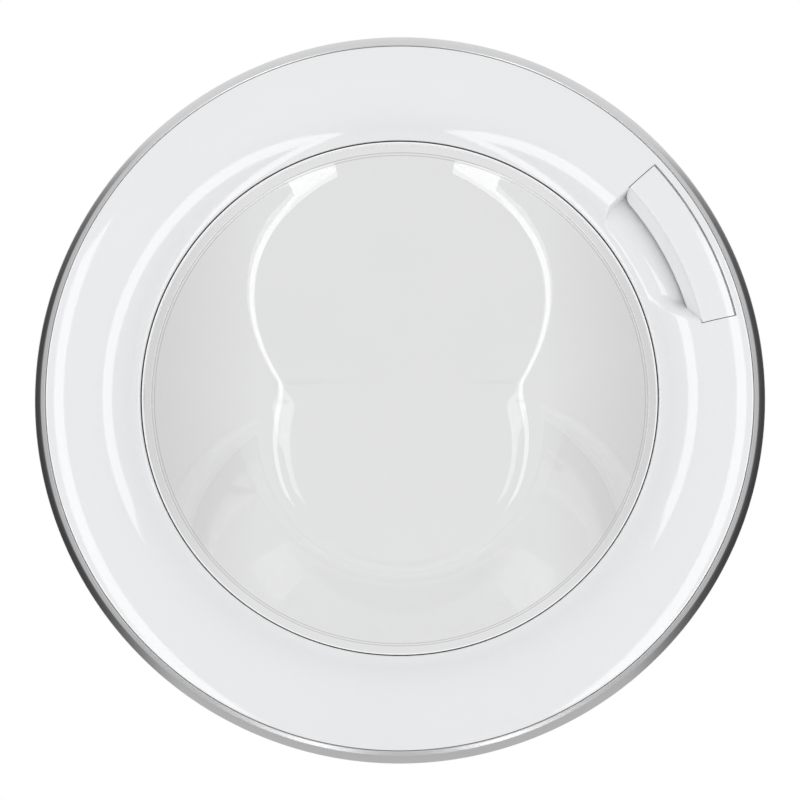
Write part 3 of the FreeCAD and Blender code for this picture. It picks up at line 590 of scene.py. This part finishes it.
print("materials")
plain, coolWhite, warmSteel = (1.0, 1.0, 1.0), (0.99, 0.997, 1.01), (1.0, 0.99, 0.98)
whitePlastic = plasticFinish("white_moulding", 0.88, coolWhite, 0.08, 0.03, 420.0)
handlePlastic = plasticFinish("handle_moulding", 0.88, coolWhite, 0.09, 0.03, 420.0)
greyPlastic = plasticFinish("grey_moulding", 0.30, (1.0, 1.01, 1.03), 0.5, 0.25, 1500.0)
nylon = plasticFinish("natural_nylon", 0.62, (1.0, 0.99, 0.94), 0.42, 0.1, 900.0)
zinc = metalFinish("zinc_plate", 0.56, (1.0, 1.0, 1.02), 0.32, 0.08, (1.0, 1.0, 6.0), 0.10)
castMetal = metalFinish("blasted_casting", 0.46, plain, 0.48, 0.3, plain, 0.08)
groundSteel = metalFinish("ground_steel", 0.60, warmSteel, 0.2, 0.08, (1.0, 1.0, 30.0), 0.05)
springWire = metalFinish("spring_wire", 0.32, (1.0, 0.98, 0.96), 0.35, 0.05, plain, 0.1)
finishes = {
    "door_handle": handlePlastic, "inner_frame": greyPlastic, "glass_gasket": rubberFinish(),
    "latch_hook": zinc, "latch_pin": groundSteel, "latch_spring": springWire,
    "hinge_arm": castMetal, "hinge_bracket": zinc, "hinge_pin": groundSteel,
    "hinge_pin_clip": springWire, "hinge_bush_upper": nylon, "hinge_bush_lower": nylon,
}
for nodeName, finish in finishes.items():
    for materialSlot in nodes[nodeName].material_slots:
        materialSlot.material = finish

print("pieces")
buildRing(whitePlastic)
buildTrim(silverFinish())
buildBowl(glassFinish())
screwTurn = np.radians(screw["first"] + screw["pitch"] * np.arange(screw["count"]))
framePlaces = screw["circleR"] * np.stack([np.cos(screwTurn), np.sin(screwTurn)], -1)
bracketPlaces = np.array([(screw["bracketX"], side * z)
                          for z in screw["bracketZ"] for side in (-1, 1)])
buildScrews("ring_screws", framePlaces, screw["seatY"], screw["length"], ["frame_screws"], zinc)
buildScrews("hinge_screws", bracketPlaces, screw["bracketSeatY"], screw["bracketLength"],
            ["bracket_screws"], zinc)

# Studio, in metres: pale floor below the hung door, white surroundings, two tall soft strips in
# front and a dark card on each side
studio = {
    "floorZ": -0.30, "floorSize": 30.0, "floorShade": (0.78, 0.80), "mottle": (3.0, 2.0),
    "floorRough": 0.9, "floorGlow": 0.30,
    "surround": 0.90, "mirrorLow": 0.61, "mirrorRise": 0.25, "riseScale": 0.9,
    "stripLight": 4.0, "stripSide": 3.355, "stripFront": -4.974, "stripWidth": 1.47,
    "stripTop": 2.4, "stripFoot": -12.0, "stripLean": 0.06,
    "cardSide": 3.0, "cardFront": -1.0, "cardBack": 6.0, "cardHeight": 3.4,
    "cardShade": (0.05, 0.80), "cardFade": 4.0,
    "elevation": -6.0, "azimuth": 1.0, "distance": 1.9, "viewSize": 0.516, "sensor": 36.0,
    "aim": (0.0004, -0.03, -0.0023), "clip": (0.05, 200.0),
}


def stagePlane(name, corners, material):
    mesh = bpy.data.meshes.new(name)
    mesh.from_pydata(corners, [], [(0, 1, 2, 3)])
    made = bpy.data.objects.new(name, mesh)
    bpy.context.scene.collection.objects.link(made)
    made.data.materials.append(material)
    return made


def floorFinish():
    made, flow = newMaterial("pale_floor")
    mottle = flow.noise(flow.place(), *studio["mottle"])
    finishMaterial(flow, {
        "Base Color": flow.blendColour(mottle, *map(grey, studio["floorShade"])),
        "Roughness": studio["floorRough"],
        "Emission Color": grey(1.0),
        "Emission Strength": studio["floorGlow"]})
    return made


def stripFinish():
    # shines only in reflections, also in those that come back out of the glass
    made, flow = newMaterial("strip_glow")
    reflections = flow.node("ShaderNodeLightPath", {}, {}, "Glossy Depth")
    lit = flow.maths("GREATER_THAN", reflections, 0.5)
    colour = flow.blendColour(lit, grey(0.0), grey(1.0))
    finishMaterial(flow, {"Color": colour, "Strength": studio["stripLight"]}, "ShaderNodeEmission")
    return made


def cardFinish():
    # dark in the middle, paler towards all its edges
    made, flow = newMaterial("side_card")
    place = flow.place()
    front, back = studio["cardFront"], studio["cardBack"]
    fromMiddle = flow.maths("ABSOLUTE", flow.part(place, "Y") - (front + back) / 2)
    upright = flow.maths("ABSOLUTE", flow.part(place, "Z")) / studio["cardHeight"]
    share = flow.maths("MAXIMUM", upright, fromMiddle / ((back - front) / 2))
    shade = flow.blendColour(share ** studio["cardFade"], *map(grey, studio["cardShade"]))
    finishMaterial(flow, {"Color": shade, "Strength": 1.0}, "ShaderNodeEmission")
    return made


def buildStudio():
    # each strip faces the door and leans outwards as it rises; each card stands beside the door
    size, floorZ = studio["floorSize"], studio["floorZ"]
    corners = [(x * size, y * size, floorZ) for x, y in ((-1, -1), (1, -1), (1, 1), (-1, 1))]
    floor = stagePlane("floor", corners, floorFinish())
    floor.visible_glossy = False
    floor.visible_transmission = False
    glow, shade = stripFinish(), cardFinish()
    foot, top, tall = studio["stripFoot"], studio["stripTop"], studio["cardHeight"]
    front, back = studio["cardFront"], studio["cardBack"]
    for side, hand in ((-1, "left"), (1, "right")):
        centre = np.array([side * studio["stripSide"], studio["stripFront"]])
        along = np.array([-centre[1], centre[0]]) / np.hypot(*centre)
        half, lean = along * studio["stripWidth"] / 2, side * along * studio["stripLean"]
        corners = [(*(centre + end * half + z * lean), z)
                   for end, z in ((-1, foot), (1, foot), (1, top), (-1, top))]
        strip = stagePlane("strip_" + hand, corners, glow)
        corners = [(side * studio["cardSide"], y, z)
                   for y, z in ((front, -tall), (back, -tall), (back, tall), (front, tall))]
        card = stagePlane("card_" + hand, corners, shade)
        card.visible_transmission = False
        for panel in (strip, card):
            panel.visible_camera = False
            panel.visible_diffuse = False
            panel.visible_shadow = False


def buildWorld():
    # white to the camera and through glass, a level that rises with height in mirrors, and a
    # plain level for all other light
    world = bpy.data.worlds.new("white_studio")
    bpy.context.scene.world = world
    world.use_nodes = True
    world.node_tree.nodes.clear()
    flow = Flow(world.node_tree)
    rays = ("Is Camera Ray", "Is Glossy Ray", "Is Transmission Ray")
    seen, glossy, through = (flow.node("ShaderNodeLightPath", {}, {}, ray) for ray in rays)
    white = flow.maths("MAXIMUM", flow.maths("MAXIMUM", seen, glossy), through)
    direction = flow.node("ShaderNodeTexCoord", {}, {}, "Generated")
    upwards = flow.clamp(0.5 + studio["riseScale"] * flow.part(direction, "Z"))
    mirrored = studio["mirrorLow"] + studio["mirrorRise"] * upwards
    onlyMirror = glossy * (1 - through)
    level = white * (1 - onlyMirror) + onlyMirror * mirrored + (1 - white) * studio["surround"]
    backdrop = flow.node("ShaderNodeBackground", {}, {"Color": grey(1.0), "Strength": level})
    flow.node("ShaderNodeOutputWorld", {}, {"Surface": backdrop})


def buildCamera():
    # on a sphere about the aim, with a lens that shows the view's size at that distance
    camera = bpy.data.cameras.new("camera")
    made = bpy.data.objects.new("camera", camera)
    bpy.context.scene.collection.objects.link(made)
    turn, rise = math.radians(studio["azimuth"]), math.radians(studio["elevation"])
    back = mathutils.Vector((math.sin(turn) * math.cos(rise), -math.cos(turn) * math.cos(rise),
                             math.sin(rise)))
    made.location = mathutils.Vector(studio["aim"]) + back * studio["distance"]
    made.rotation_mode = "QUATERNION"
    made.rotation_quaternion = back.to_track_quat("Z", "Y")
    camera.sensor_width = studio["sensor"]
    camera.lens = studio["sensor"] * studio["distance"] / studio["viewSize"]
    camera.clip_start, camera.clip_end = studio["clip"]
    bpy.context.scene.camera = made


print("studio")
buildStudio()
buildWorld()
buildCamera()
bpy.context.scene.view_settings.view_transform = "Standard"
